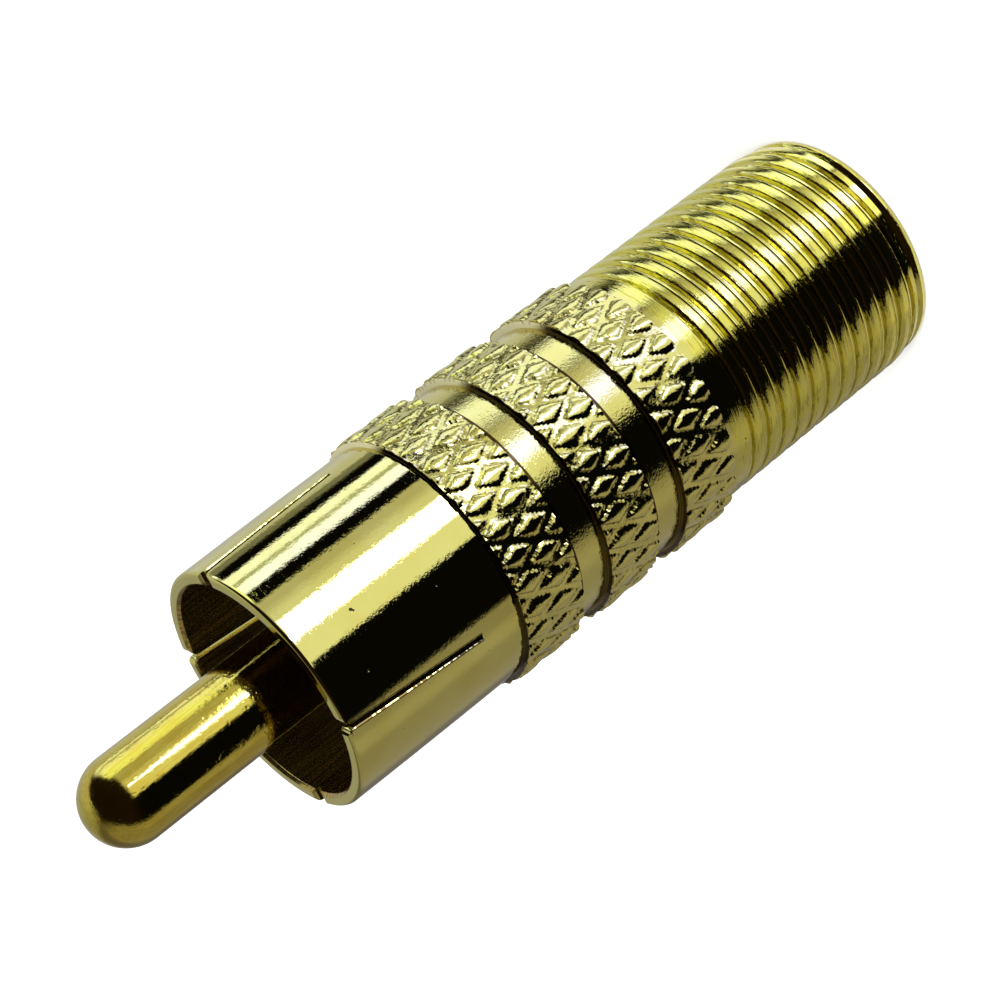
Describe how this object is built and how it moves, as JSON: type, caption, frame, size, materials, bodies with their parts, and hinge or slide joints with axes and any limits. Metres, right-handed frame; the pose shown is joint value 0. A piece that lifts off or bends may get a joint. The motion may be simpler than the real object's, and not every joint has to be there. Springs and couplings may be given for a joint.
{
  "type": "rca to f-type adapter",
  "caption": "Gold-plated adapter with a slotted coaxial plug and centre pin at one end, a diamond-knurled grip, and a threaded F socket at the other.",
  "frame": {"origin": "centre of the F end face, on which the adapter stands", "axes": "+Z along the connector's axis, from the F end up to the RCA pin's tip; -Y faces the picture's camera"},
  "size_m": [0.0102, 0.0102, 0.0358],
  "materials": {
    "body_gold": "bright gold plating with fine handling marks",
    "pin_gold": "bright gold plating",
    "contact_gold": "satin gold plating",
    "black_bead": "moulded black plastic",
    "ivory_bead": "moulded ivory plastic"
  },
  "bodies": {
    "root": {"body": "body_gold", "rca_bead": "black_bead", "centre_pin": "pin_gold", "f_contact": "contact_gold", "f_bead": "ivory_bead"}
  },
  "joints": []
}
